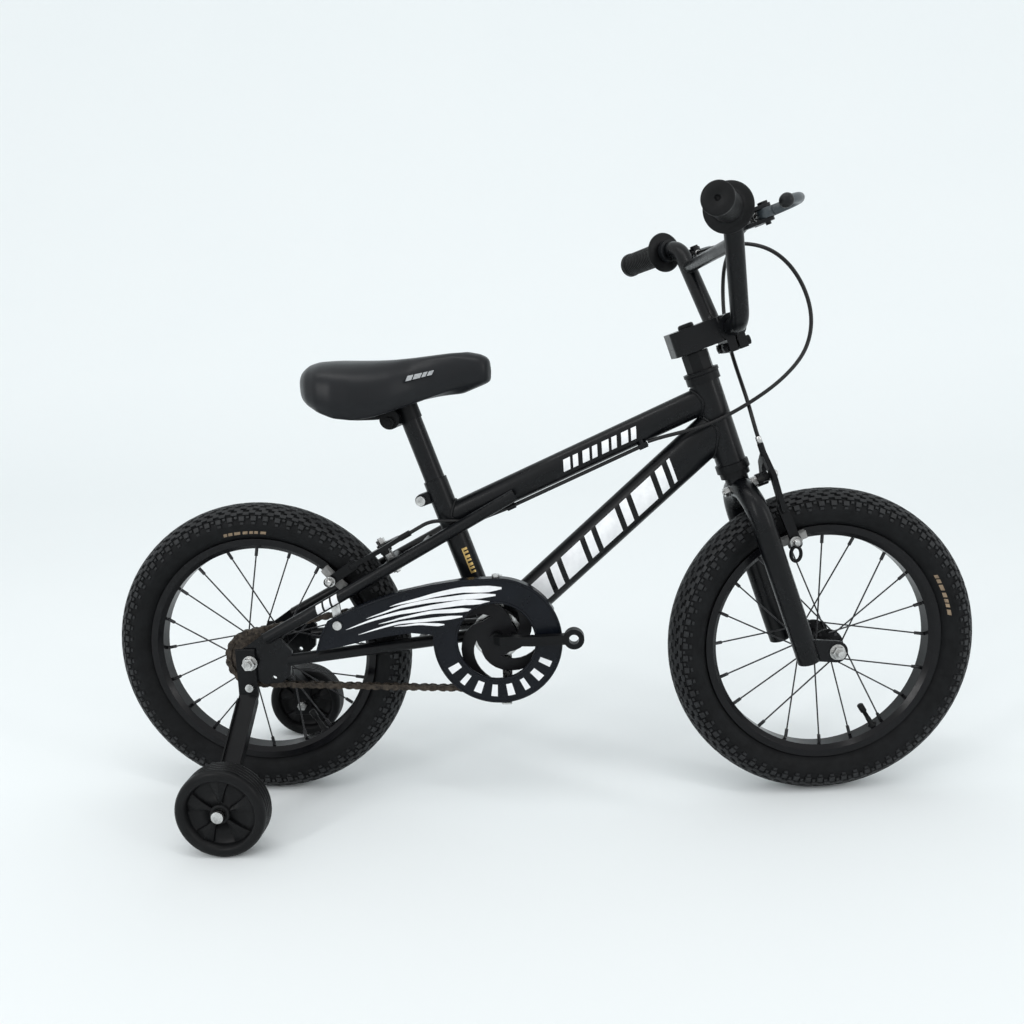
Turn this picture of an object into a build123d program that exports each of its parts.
"""A child's BMX bike with sixteen-inch wheels, side-pull brakes, a chain guard and stabilizers.

Millimetres. The origin is on the ground, midway between the axles: +X forward, +Y to the rider's left, +Z up.
The bars stand at STEER_REST, turned a little to the left. Pieces of the steering are drawn straight ahead in
a frame whose Z runs up the steering axis, and are then turned together.
"""
import os
from math import asin, atan2, ceil, cos, degrees, hypot, pi, radians, sin, tan

from build123d import *

# ---------------------------------------------------------------- stance and wheels
WHEELBASE = 757.0
HEAD_LEAN = 18.5  # degrees from upright
FORK_OFFSET = 37.0
STEER_REST = 7.0  # degrees to the left
RIM_EDGE_RADIUS = 158.0
RIM_WIDTH = 31.0
RIM_DEPTH = 14.5
RIM_SHEET = 2.0
RIM_FLOOR_CHAMFER = 6.0
TYRE_SECTION = 53.0
TYRE_WALL = 4.0
TYRE_SEAT_DEPTH = 6.0
BEAD_HEIGHT = 5.0
BEAD_WIDTH = 3.3
TYRE_RADIUS = RIM_EDGE_RADIUS + TYRE_SECTION - TYRE_SEAT_DEPTH
SPOKE_COUNT = 20
SPOKE_RADIUS = 1.0
SPOKE_CROSS = 72.0  # degrees between a spoke's two ends
SPOKE_HEAD = 1.0
NIPPLE_RADIUS = 2.2
NIPPLE_LENGTH = 11.0
NIPPLE_OFFSET = 3.0
VALVE_RADIUS = 3.6
VALVE_LENGTH = 34.0
VALVE_ANGLE = -59.0
FLANGE_RADIUS = 21.0
FLANGE_THICKNESS = 3.0
FLANGE_HOLE_CIRCLE = 17.5
AXLE_RADIUS = 4.75
RUNNING = 0.05  # radial clearance of a turning fit
SIDE_PLAY = 0.5

# ---------------------------------------------------------------- drive
CHAIN_PITCH = 12.7
CHAIN_PITCHES = 79
RING_TEETH = 36
SPROCKET_TEETH = 18
CHAIN_LINE = 43.0
TOOTH_PLATE = 3.0
TOOTH_ROOT_HALF = 3.1
TOOTH_PITCH_HALF = 1.8
TOOTH_TIP_HALF = 1.0
TOOTH_RISE = 3.4  # above the pitch circle
ROLLER_SEAT = 0.15  # clearance below a roller
ROLLER_RADIUS = 3.85
ROLLER_WIDTH = 3.3
LINK_PLATE = 1.2
LINK_HEIGHT = 8.2
PIN_RADIUS = 1.8
PIN_LENGTH = 9.2
BRACKET_RISE = 26.0  # bottom bracket above the axles
CRANK_LENGTH = 102.0
CRANK_REST = 4.7  # degrees above level
CRANK_AXLE_RADIUS = 8.0
CRANK_ARM = 12.0
PEDAL_LINE = 80.0
PEDAL_BOSS_RADIUS = 13.0
PEDAL_BOSS_WIDTH = 12.0
PEDAL_HOLE_RADIUS = 6.35
SHELL_RADIUS = 28.5
SHELL_BORE = 25.65
SHELL_WIDTH = 68.0
CUP_FLANGE = 2.0

# ---------------------------------------------------------------- frame
HEAD_TUBE_RADIUS = 19.0
HEAD_TUBE_BORE = 15.0
HEAD_TUBE_LENGTH = 110.0
HEAD_TUBE_ABOVE_CROWN = 20.7
CUP_RADIUS = 21.5
CUP_HEIGHT = 10.0
CUP_SKIRT = 8.0
TOP_TUBE_SIZE = (30.0, 36.0)  # across, upright
DOWN_TUBE_SIZE = (36.0, 52.0)
TUBE_WALL = 1.6
TOP_TUBE_BELOW_HEAD_TOP = 20.6
DOWN_TUBE_ABOVE_HEAD_FOOT = 50.8
SEAT_LEAN = 18.8
SEAT_TUBE_SETBACK = 8.5
SEAT_TUBE_RADIUS = 15.9
SEAT_TUBE_TOP = 216.0
TOP_TUBE_ON_SEAT_TUBE = 161.0
POST_RADIUS = 13.6
STAY_RADIUS = 8.0
STAY_WALL = 1.4
DROPOUT_GAP = 110.0
DROPOUT_PLATE = 5.0
BRAKE_BRIDGE_GAP = 8.7
BRIDGE_RADIUS = 7.0
STAY_RISE = 28.2  # degrees, slope of the seat stays

# ---------------------------------------------------------------- steering
CROWN_GAP = 14.1
FORK_RADIUS = 14.3
FORK_WALL = 2.0
FORK_HALF = 53.0
CROWN_BEND = 47.0
STEERER_RADIUS = 12.7
STEERER_BORE = 11.15
RACE_RADIUS = 19.0
LOCKNUT_RADIUS = 17.5
LOCKNUT_LENGTH = 24.0
STEM_GAP = 1.5
STEM_HEIGHT = 31.0
STEM_WIDTH = 44.0
STEM_TAIL = 27.0
STEM_REACH = 50.0
BAR_ABOVE_STEM_FOOT = 13.5
BAR_RADIUS = 11.1
BAR_WALL = 1.8
BAR_RISE = 123.0
BAR_FOOT_HALF = 54.0
BAR_SHOULDER_HALF = 124.0
BAR_END_HALF = 234.0
BAR_FORWARD = 8.0
BAR_SWEEP = 47.5
BAR_UPSWEEP = 7.0
BAR_BEND = 34.0
CROSSBAR_HEIGHT = 91.0
CROSSBAR_RADIUS = 8.0
GRIP_LENGTH = 88.0
GRIP_RADIUS = 16.0
GRIP_END_RADIUS = 18.0
GRIP_FLANGE_RADIUS = 27.5
GRIP_FLANGE = 5.0
GRIP_CAP = 3.0

# ---------------------------------------------------------------- brakes and cables
CALIPER_BOLT_RADIUS = 3.0
CALIPER_ARM = 6.0
CALIPER_PLAY = 0.5
PAD_GAP = 2.0
PAD_SIZE = (38.0, 12.0, 10.0)  # along the rim, thick, tall
PAD_BOLT_RADIUS = 3.0
CABLE_SIDE = 33.0
ANCHOR_RISE = 8.0
ADJUSTER_RISE = 34.0
ADJUSTER_RADIUS = 4.0
ADJUSTER_BORE = 2.2
ADJUSTER_LENGTH = 16.0
WIRE_RADIUS = 0.8
CABLE_RADIUS = 2.5
CABLE_BEND = 40.0
LEVER_THICKNESS = 10.0

# ---------------------------------------------------------------- seat
POST_NECK_RADIUS = 11.1
POST_TOP = 322.0
POST_NECK = 300.0
POST_FOOT = 120.0
RAIL_RADIUS = 3.5
RAIL_HALF = 20.0
SADDLE_WALL = 9.0
# ahead of the rear axle, half width, underside and top above the axles
SADDLE_STATIONS = [
    (86, 38, 340, 374),
    (100, 60, 326, 386),
    (132, 74, 313, 389),
    (168, 73, 311, 387.5),
    (204, 58, 317, 388),
    (242, 38, 330, 391),
    (285, 27, 348, 395),
    (316, 22, 358, 393),
    (331, 13, 363, 383),
]

# ---------------------------------------------------------------- guard and stabilizers
GUARD_RADIUS = 84.0
GUARD_HOLE = 50.5
GUARD_SHEET = 2.5
GUARD_LINE = 64.0
GUARD_RIM = 12.0
STABILIZER_RADIUS = 57.0
STABILIZER_WIDTH = 32.0
STABILIZER_TRACK = 175.0
STABILIZER_ARM = 26.0
STABILIZER_SHEET = 4.0


# ---------------------------------------------------------------- drawing helpers
def at(ahead, left, rise):
    """A point by its distance ahead of the rear axle, to the left, and above the axles."""
    return Vector(ahead - WHEELBASE / 2, left, TYRE_RADIUS + rise)


def rod(start, end, radius):
    """A round bar between two points."""
    start, end = Vector(start), Vector(end)
    plane = Plane(origin=start, z_dir=end - start)
    return extrude(plane * Circle(radius), (end - start).length)


def pipe(start, end, outer, inner):
    """A round tube between two points."""
    return rod(start, end, outer) - rod(start, end, inner)


def oval_bar(start, end, size):
    """A bar of oval section, size across the bike and upright."""
    start, end = Vector(start), Vector(end)
    plane = Plane(origin=start, x_dir=(0, 1, 0), z_dir=end - start)
    return extrude(plane * Ellipse(size[0] / 2, size[1] / 2), (end - start).length)


def disc(x, z, radius, y0, y1):
    """A cylinder lying across the bike from y0 to y1."""
    return rod((x, y0, z), (x, y1, z), radius)


def ring(x, z, outer, inner, y0, y1):
    """A washer lying across the bike from y0 to y1."""
    return disc(x, z, outer, y0, y1) - disc(x, z, inner, y0, y1)


def hexagon(x, z, flats, y0, y1):
    """A six-sided nut across the bike, by its width over the flats."""
    return side_plate(Pos(x, z) * RegularPolygon(flats / 2, 6, major_radius=False), y0, y1)


def side_plate(sketch, y0, y1):
    """An outline drawn in X and Z, made solid from y0 to y1."""
    plane = Plane(origin=(0, y1, 0), x_dir=(1, 0, 0), z_dir=(0, -1, 0))
    return extrude(plane * sketch, y1 - y0)


def front_plate(sketch, x0, x1):
    """An outline drawn in Y and Z, made solid from x0 to x1."""
    plane = Plane(origin=(x0, 0, 0), x_dir=(0, 1, 0), z_dir=(1, 0, 0))
    return extrude(plane * sketch, x1 - x0)


def level_plate(sketch, z0, z1):
    """An outline drawn in X and Y, made solid from z0 to z1."""
    return extrude(Plane(origin=(0, 0, z0)) * sketch, z1 - z0)


def thick_path(points, width):
    """A strip of even width with round ends along straight runs."""
    strip = None
    for (x0, y0), (x1, y1) in zip(points, points[1:]):
        middle = Pos((x0 + x1) / 2, (y0 + y1) / 2)
        turn = Rot(0, 0, degrees(atan2(y1 - y0, x1 - x0)))
        run = middle * turn * SlotCenterToCenter(hypot(x1 - x0, y1 - y0), width)
        strip = run if strip is None else strip + run
    return strip


def bent_bar(points, bend, outer, inner=0.0):
    """A round bar or tube along straight runs joined by arcs."""
    path = FilletPolyline(*points, radius=bend)
    section = Circle(outer) - Circle(inner) if inner else Circle(outer)
    return sweep(Plane(origin=path @ 0, z_dir=path % 0) * section, path=path)


def polar(radius, angle, y=0.0):
    """A point round the Y axis, its angle measured from +X towards +Z."""
    return Vector(radius * cos(radians(angle)), y, radius * sin(radians(angle)))


def both_sides(make):
    """What make(side) returns, for the right and for the left."""
    return [make(-1), make(1)]


# ---------------------------------------------------------------- the frame's skeleton
SECTION_RADIUS = TYRE_SECTION / 2
STEER_FOOT = WHEELBASE - FORK_OFFSET / cos(radians(HEAD_LEAN))
AXLE_DROP = FORK_OFFSET * tan(radians(HEAD_LEAN))
HEAD = Pos(*at(STEER_FOOT, 0, 0)) * Rot(0, -HEAD_LEAN, 0)
STEERED = HEAD * Rot(0, 0, STEER_REST)

CROWN = TYRE_RADIUS - AXLE_DROP + CROWN_GAP + FORK_RADIUS
HEAD_FOOT = CROWN + FORK_RADIUS + HEAD_TUBE_ABOVE_CROWN
HEAD_TOP = HEAD_FOOT + HEAD_TUBE_LENGTH
RACE_TOP = HEAD_TOP + CUP_HEIGHT + SIDE_PLAY + 4.5
STEM_FOOT = RACE_TOP + LOCKNUT_LENGTH + STEM_GAP
BAR_LINE = STEM_FOOT + BAR_ABOVE_STEM_FOOT

RING_RADIUS = CHAIN_PITCH / (2 * sin(pi / RING_TEETH))
SPROCKET_RADIUS = CHAIN_PITCH / (2 * sin(pi / SPROCKET_TEETH))


def chain_span():
    """Centre distance and tangent tilt with which the chain closes without slack."""
    tilt = 0.1
    for _ in range(60):
        wrapped = RING_TEETH * (0.5 + tilt / pi) + SPROCKET_TEETH * (0.5 - tilt / pi)
        run = CHAIN_PITCH * (CHAIN_PITCHES - wrapped) / 2
        tilt = asin((RING_RADIUS - SPROCKET_RADIUS) / hypot(run, RING_RADIUS - SPROCKET_RADIUS))
    return hypot(run, RING_RADIUS - SPROCKET_RADIUS), tilt


CENTRE_DISTANCE, CHAIN_TILT = chain_span()
BRACKET_AHEAD = (CENTRE_DISTANCE**2 - BRACKET_RISE**2) ** 0.5
BRACKET = at(BRACKET_AHEAD, 0, BRACKET_RISE)


def on_seat_tube(distance):
    """A point on the seat tube's axis, measured up from the bottom bracket's height."""
    ahead = BRACKET_AHEAD - SEAT_TUBE_SETBACK - distance * sin(radians(SEAT_LEAN))
    return at(ahead, 0, BRACKET_RISE + distance * cos(radians(SEAT_LEAN)))


def on_head(height):
    """A point on the steering axis, measured up it from the axles' height."""
    return (HEAD * Pos(0, 0, height)).position


STAY_DIRECTION = Vector(cos(radians(STAY_RISE)), 0, sin(radians(STAY_RISE)))
STAY_NORMAL = Vector(-sin(radians(STAY_RISE)), 0, cos(radians(STAY_RISE)))
STAY_ABOVE_AXLE = 17.2
STAY_FOOT_ALONG = 35.0
STAY_BEND_ALONG = 105.0
STAY_TIP_ALONG = 413.0
STAY_FOOT_HALF = 58.0
STAY_TIP_HALF = 22.0
BRIDGE_ALONG = ((TYRE_RADIUS + BRAKE_BRIDGE_GAP + BRIDGE_RADIUS) ** 2 - STAY_ABOVE_AXLE**2) ** 0.5


def stay_half(along):
    """Distance of a seat stay's axis from the middle plane."""
    share = (along - STAY_BEND_ALONG) / (STAY_TIP_ALONG - STAY_BEND_ALONG)
    return STAY_FOOT_HALF - max(share, 0.0) * (STAY_FOOT_HALF - STAY_TIP_HALF)


def on_stay(along, side):
    """A point on a seat stay's axis, measured from the foot of the axle's normal."""
    point = at(0, 0, 0) + STAY_NORMAL * STAY_ABOVE_AXLE + STAY_DIRECTION * along
    return Vector(point.X, side * stay_half(along), point.Z)


# ---------------------------------------------------------------- frame pieces
def frame_tubes():
    """Head, seat, top and down tubes and the bottom-bracket shell, each mitred to the next."""
    half_shell = SHELL_WIDTH / 2
    shell_core = disc(BRACKET.X, BRACKET.Z, SHELL_RADIUS, -half_shell, half_shell)
    shell = shell_core - disc(BRACKET.X, BRACKET.Z, SHELL_BORE, -half_shell, half_shell)
    head_core = rod(on_head(HEAD_FOOT), on_head(HEAD_TOP), HEAD_TUBE_RADIUS)
    head_tube = head_core - rod(on_head(HEAD_FOOT), on_head(HEAD_TOP), HEAD_TUBE_BORE)
    seat_core = rod(on_seat_tube(0), on_seat_tube(SEAT_TUBE_TOP), SEAT_TUBE_RADIUS)
    seat_tube = seat_core - rod(on_seat_tube(0), on_seat_tube(SEAT_TUBE_TOP), POST_RADIUS + RUNNING)
    seat_tube = seat_tube + clamp_ears() - clamp_slot() - shell_core

    top_ends = (on_seat_tube(TOP_TUBE_ON_SEAT_TUBE), on_head(HEAD_TOP - TOP_TUBE_BELOW_HEAD_TOP))
    down_ends = (BRACKET, on_head(HEAD_FOOT + DOWN_TUBE_ABOVE_HEAD_FOOT))
    top_core = oval_bar(*top_ends, TOP_TUBE_SIZE)
    down_core = oval_bar(*down_ends, DOWN_TUBE_SIZE)
    inner_top = [size - 2 * TUBE_WALL for size in TOP_TUBE_SIZE]
    inner_down = [size - 2 * TUBE_WALL for size in DOWN_TUBE_SIZE]
    top_tube = top_core - oval_bar(*top_ends, inner_top) - head_core - seat_core
    down_tube = down_core - oval_bar(*down_ends, inner_down)
    down_tube = down_tube - head_core - seat_core - shell_core - top_core
    return [head_tube, seat_tube, top_tube, down_tube, shell]


EAR_REACH = 27.0
EAR_BELOW_TOP = 20.0
EAR_HALF_GAP = 2.0
EAR_PLATE = 4.0
EAR_RADIUS = 8.0
CLAMP_BOLT_RADIUS = 3.0


def ear_centre():
    """The seat clamp bolt's place, behind the seat tube."""
    back = Vector(-cos(radians(SEAT_LEAN)), 0, -sin(radians(SEAT_LEAN)))
    return on_seat_tube(SEAT_TUBE_TOP - EAR_BELOW_TOP) + back * EAR_REACH


def clamp_ears():
    """Two ears behind the seat tube, drilled for the clamp bolt."""
    centre = ear_centre()
    root = on_seat_tube(SEAT_TUBE_TOP - EAR_BELOW_TOP)
    outline = thick_path([(centre.X, centre.Z), (root.X, root.Z)], 2 * EAR_RADIUS)
    outline -= Pos(centre.X, centre.Z) * Circle(CLAMP_BOLT_RADIUS + RUNNING)
    ears = [side_plate(outline, EAR_HALF_GAP, EAR_HALF_GAP + EAR_PLATE)]
    ears += [side_plate(outline, -EAR_HALF_GAP - EAR_PLATE, -EAR_HALF_GAP)]
    bore = rod(on_seat_tube(0), on_seat_tube(SEAT_TUBE_TOP), POST_RADIUS + RUNNING)
    return ears[0] + ears[1] - bore


def clamp_slot():
    """The slot that lets the top of the seat tube close on the post."""
    top = on_seat_tube(SEAT_TUBE_TOP)
    place = Pos(*top) * Rot(0, -SEAT_LEAN, 0)
    return place * Pos(-SEAT_TUBE_RADIUS, 0, -EAR_BELOW_TOP) * Box(
        SEAT_TUBE_RADIUS, 2 * EAR_HALF_GAP, 2.6 * EAR_BELOW_TOP
    )


def seat_clamp_bolt():
    """Bolt through the ears, with a domed head, a washer each side and a nut."""
    centre = ear_centre()
    outer = EAR_HALF_GAP + EAR_PLATE
    bolt = disc(centre.X, centre.Z, CLAMP_BOLT_RADIUS, -outer - 6, outer + 7)
    head = disc(centre.X, centre.Z, 6.5, -outer - 6, -outer)
    nut = hexagon(centre.X, centre.Z, 10, outer, outer + 5.5)
    nut -= disc(centre.X, centre.Z, CLAMP_BOLT_RADIUS, outer, outer + 5.5)
    return [bolt + head, nut]


CHAIN_STAY_FOOT = 50.0
CHAIN_STAY_FOOT_HALF = 56.0
CHAIN_STAY_TIP_HALF = 22.0
CHAIN_BRIDGE_AHEAD = 223.0
CHAIN_BRIDGE_RADIUS = 5.0
STUB_ALONG = 273.0
STUB_RADIUS = 5.0


def chain_stay_line(side):
    """Both ends of a chain stay's axis."""
    foot = at(CHAIN_STAY_FOOT, side * CHAIN_STAY_FOOT_HALF, 1)
    tip = at(BRACKET_AHEAD - 12, side * CHAIN_STAY_TIP_HALF, BRACKET_RISE - 2)
    return foot, tip


def dropout(side):
    """The plate that holds the rear axle, with its axle hole and a small eyelet."""
    corners = [(-17, 6), (-9, 19), (22, 40), (36, 38), (56, 14), (52, -18), (40, -29), (16, -31), (-13, -14)]
    points = [(at(x, 0, z).X, at(x, 0, z).Z) for x, z in corners]
    outline = make_face(Polyline(*points, close=True))
    axle, eyelet = at(0, 0, 0), at(30, 0, -22)
    outline -= Pos(axle.X, axle.Z) * Circle(AXLE_RADIUS)
    outline -= Pos(eyelet.X, eyelet.Z) * Circle(3)
    inner = side * DROPOUT_GAP / 2
    outer = side * (DROPOUT_GAP / 2 + DROPOUT_PLATE)
    return side_plate(outline, min(inner, outer), max(inner, outer))


def stay_solid(side, inner):
    """One seat stay, or its bore, along its two straight runs."""
    radius = STAY_RADIUS - STAY_WALL if inner else STAY_RADIUS
    points = [on_stay(along, side) for along in (STAY_FOOT_ALONG, STAY_BEND_ALONG, STAY_TIP_ALONG)]
    return bent_bar(points, 3 * CABLE_BEND, radius)


def rear_triangle():
    """Seat stays, chain stays, two bridges, stubs to the seat tube and the dropout plates."""
    shell_core = disc(BRACKET.X, BRACKET.Z, SHELL_RADIUS, -SHELL_WIDTH / 2, SHELL_WIDTH / 2)
    seat_core = rod(on_seat_tube(0), on_seat_tube(SEAT_TUBE_TOP), SEAT_TUBE_RADIUS)
    top_core = oval_bar(
        on_seat_tube(TOP_TUBE_ON_SEAT_TUBE), on_head(HEAD_TOP - TOP_TUBE_BELOW_HEAD_TOP), TOP_TUBE_SIZE
    )
    pieces = []
    stay_cores = both_sides(lambda side: stay_solid(side, False))
    chain_cores = both_sides(lambda side: rod(*chain_stay_line(side), STAY_RADIUS))
    plates = both_sides(dropout)
    for index, side in enumerate((-1, 1)):
        seat_stay = stay_cores[index] - stay_solid(side, True)
        pieces.append(seat_stay - plates[index] - top_core)
        bore = rod(*chain_stay_line(side), STAY_RADIUS - STAY_WALL)
        chain_stay = chain_cores[index] - bore - plates[index] - shell_core - seat_core
        pieces.append(chain_stay)
        pieces.append(plates[index])
        middle = on_stay(STUB_ALONG, 0)
        outer = on_stay(STUB_ALONG, side)
        pieces.append(rod(middle, outer, STUB_RADIUS) - seat_core - stay_cores[index])
    left, right = on_stay(BRIDGE_ALONG, 1), on_stay(BRIDGE_ALONG, -1)
    bridge = rod(right, left, BRIDGE_RADIUS) - stay_cores[0] - stay_cores[1]
    bolt_line = on_stay(BRIDGE_ALONG, 0) - STAY_NORMAL * 20
    bridge -= rod(bolt_line, bolt_line + STAY_NORMAL * 40, CALIPER_BOLT_RADIUS)
    low = at(CHAIN_BRIDGE_AHEAD, 0, 15)
    chain_bridge = disc(low.X, low.Z, CHAIN_BRIDGE_RADIUS, -45, 45) - chain_cores[0] - chain_cores[1]
    inner = [solid for solid in chain_bridge.solids() if abs(solid.center().Y) < 5]
    return pieces + [bridge] + inner


def headset_cups():
    """Upper and lower cups pressed into the head tube."""
    cups = []
    for seat, way in ((HEAD_FOOT, -1), (HEAD_TOP, 1)):
        cup = rod((0, 0, seat), (0, 0, seat + way * CUP_HEIGHT), CUP_RADIUS)
        cup += rod((0, 0, seat), (0, 0, seat - way * CUP_SKIRT), HEAD_TUBE_BORE)
        bore = rod((0, 0, seat - way * CUP_SKIRT), (0, 0, seat + way * CUP_HEIGHT), STEERER_RADIUS + RUNNING)
        cups.append(HEAD * (cup - bore))
    return cups


def bottom_bracket_cups():
    """A cup pressed in each end of the shell; the crank's axle turns in them."""
    cups = []
    half = SHELL_WIDTH / 2
    for side in (-1, 1):
        spans = ((SHELL_BORE, half - 6, half), (SHELL_BORE + 1.8, half, half + CUP_FLANGE))
        cup = None
        for radius, near, far in spans:
            low, high = sorted((side * near, side * far))
            lump = disc(BRACKET.X, BRACKET.Z, radius, low, high)
            cup = lump if cup is None else cup + lump
        cup -= disc(BRACKET.X, BRACKET.Z, CRANK_AXLE_RADIUS + RUNNING, -half - 5, half + 5)
        cups.append(cup)
    return cups


# ---------------------------------------------------------------- wheels, drawn round the Y axis
def tyre():
    """A hollow tyre whose open side sits on the rim, with its beads and the tube's valve."""
    tube_centre = TYRE_RADIUS - SECTION_RADIUS
    section = Pos(tube_centre, 0) * (Circle(SECTION_RADIUS) - Circle(SECTION_RADIUS - TYRE_WALL))
    section -= Pos(RIM_EDGE_RADIUS / 2, 0) * Rectangle(RIM_EDGE_RADIUS, TYRE_SECTION)
    bead_centre = RIM_WIDTH / 2 - RIM_SHEET - 1.0 - BEAD_WIDTH / 2
    for side in (-1, 1):
        bead = Rectangle(BEAD_HEIGHT + 1.5, BEAD_WIDTH)
        section += Pos(RIM_EDGE_RADIUS - BEAD_HEIGHT / 2 + 0.75, side * bead_centre) * bead
    return [revolve(section, axis=Axis.Y), valve()]


def valve():
    """The valve stem, standing inwards through the rim."""
    floor = RIM_EDGE_RADIUS - RIM_DEPTH
    seat, base = polar(floor + RIM_SHEET, VALVE_ANGLE), polar(floor + RIM_SHEET + 2, VALVE_ANGLE)
    tip = polar(floor - VALVE_LENGTH, VALVE_ANGLE)
    stem = rod(base, tip, VALVE_RADIUS)
    foot = rod(seat, base, 2 * VALVE_RADIUS)
    cap = rod(polar(floor - VALVE_LENGTH + 9, VALVE_ANGLE), tip, VALVE_RADIUS + 0.8)
    return stem + foot + cap


def rim():
    """A sheet-steel channel that opens outwards, drilled for the valve."""
    edge, half = RIM_EDGE_RADIUS, RIM_WIDTH / 2
    floor, inner = edge - RIM_DEPTH, half - RIM_SHEET
    outside = [(edge, half), (edge - 9, half - 0.5), (floor, half - RIM_FLOOR_CHAMFER)]
    inside = [(floor + RIM_SHEET, inner - RIM_FLOOR_CHAMFER), (edge - 8, inner - 0.6), (edge, inner)]
    right = [(x, -y) for x, y in outside]
    hollow = [(x, -y) for x, y in inside]
    points = outside + right[::-1] + hollow[::-1] + inside
    band = revolve(make_face(Polyline(*points, close=True)), axis=Axis.Y)
    return band - rod(polar(floor - 2, VALVE_ANGLE), polar(edge, VALVE_ANGLE), VALVE_RADIUS)


def spoke_plan(index):
    """Side, lead and both end angles of one spoke."""
    side = 1 if index % 2 == 0 else -1
    lead = 1 if index % 4 < 2 else -1
    rim_angle = index * 360 / SPOKE_COUNT
    return side, lead, rim_angle, rim_angle + lead * SPOKE_CROSS


SPOKE_STANDOFF = {1: 2.3, -1: 0.3}
SPOKE_HOLE_PLAY = 0.1
NIPPLE_GAP = 0.8


def spokes(left_flange, right_flange):
    """Crossed spokes with an elbow through the flange, and a nipple at the rim."""
    pieces = []
    for index in range(SPOKE_COUNT):
        side, lead, rim_angle, hub_angle = spoke_plan(index)
        flange = left_flange if side > 0 else -right_flange
        near_face = flange + side * lead * FLANGE_THICKNESS / 2
        far_face = flange - side * lead * FLANGE_THICKNESS / 2
        line = near_face + side * lead * (SPOKE_RADIUS + SPOKE_STANDOFF[lead])
        start = polar(FLANGE_HOLE_CIRCLE, hub_angle, line)
        seat = polar(RIM_EDGE_RADIUS - RIM_DEPTH, rim_angle, side * NIPPLE_OFFSET)
        way = (seat - start).normalized()
        nipple_foot = seat - way * (NIPPLE_GAP + NIPPLE_LENGTH)
        hole = polar(FLANGE_HOLE_CIRCLE, hub_angle)
        head_end = far_face - side * lead * SPOKE_HEAD
        elbow = disc(hole.X, hole.Z, SPOKE_RADIUS, min(line, far_face), max(line, far_face))
        head = disc(hole.X, hole.Z, 2 * SPOKE_RADIUS, min(far_face, head_end), max(far_face, head_end))
        joint = Pos(*start) * Sphere(SPOKE_RADIUS)
        pieces.append(rod(start, nipple_foot, SPOKE_RADIUS) + joint + elbow + head)
        pieces.append(rod(nipple_foot, seat - way * NIPPLE_GAP, NIPPLE_RADIUS))
    return pieces


def hub(left_flange, right_flange, barrel, left_end, right_end):
    """Hub shell with two drilled flanges, bored to turn on the axle."""
    body = disc(0, 0, barrel, -right_end, left_end)
    for flange in (left_flange, -right_flange):
        body += disc(0, 0, FLANGE_RADIUS, flange - FLANGE_THICKNESS / 2, flange + FLANGE_THICKNESS / 2)
    for index in range(SPOKE_COUNT):
        side, _, _, hub_angle = spoke_plan(index)
        flange = left_flange if side > 0 else -right_flange
        hole = polar(FLANGE_HOLE_CIRCLE, hub_angle)
        body -= disc(hole.X, hole.Z, SPOKE_RADIUS + SPOKE_HOLE_PLAY, flange - 2, flange + 2)
    return body - disc(0, 0, AXLE_RADIUS + RUNNING, -right_end, left_end)


FRONT_FLANGE = 24.0
FRONT_HUB_END = 28.0
FRONT_BARREL = 10.0
REAR_LEFT_FLANGE = 30.0
REAR_RIGHT_FLANGE = 24.0
REAR_LEFT_END = 36.0
REAR_RIGHT_END = 46.0
REAR_BARREL = 12.0
CORE_RADIUS = 17.0
CORE_NEAR = 33.0
CONE_RADIUS = 8.0
LOCKNUT_FLATS = 14.0
AXLE_NUT_FLATS = 15.0
NUT_HEIGHT = 7.0
WASHER_RADIUS = 10.0
WASHER = 1.5


def cone_set(side, near, far):
    """Cone and locknut that fill the axle between the hub and the fork or dropout."""
    middle = near + 0.55 * (far - near)
    start, split, end = side * near, side * middle, side * far
    cone = ring(0, 0, CONE_RADIUS, AXLE_RADIUS, min(start, split), max(start, split))
    nut = hexagon(0, 0, LOCKNUT_FLATS, min(split, end), max(split, end))
    nut -= disc(0, 0, AXLE_RADIUS, min(split, end), max(split, end))
    return [cone, nut]


def nut_set(side, face):
    """Washer and nut on the axle, outwards from a face."""
    washer_end, nut_end = face + WASHER, face + WASHER + NUT_HEIGHT
    low, high = sorted((side * face, side * washer_end))
    washer = ring(0, 0, WASHER_RADIUS, AXLE_RADIUS, low, high)
    low, high = sorted((side * washer_end, side * nut_end))
    nut = hexagon(0, 0, AXLE_NUT_FLATS, low, high) - disc(0, 0, AXLE_RADIUS, low, high)
    return [washer, nut]


def toothed_plate(teeth, pitch_radius, gullet_angle):
    """Outline of a sprocket whose gullets hold the chain's rollers."""
    step = 360 / teeth
    root = pitch_radius - root_to_pitch()
    tip = root_to_pitch() + TOOTH_RISE
    profile = [(0, TOOTH_ROOT_HALF), (root_to_pitch(), TOOTH_PITCH_HALF), (tip, TOOTH_TIP_HALF)]
    points = []
    for index in range(teeth):
        middle = radians(gullet_angle + (index + 0.5) * step)
        gullet = radians(gullet_angle + index * step)
        points.append((root * cos(gullet), root * sin(gullet)))
        for way, corners in ((-1, profile), (1, profile[::-1])):
            for rise, half in corners:
                radius, turn = root + rise, middle + way * half / (root + rise)
                points.append((radius * cos(turn), radius * sin(turn)))
    return make_face(Polyline(*points, close=True))


def root_to_pitch():
    """Depth of a gullet below the pitch circle."""
    return ROLLER_RADIUS + ROLLER_SEAT


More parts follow.
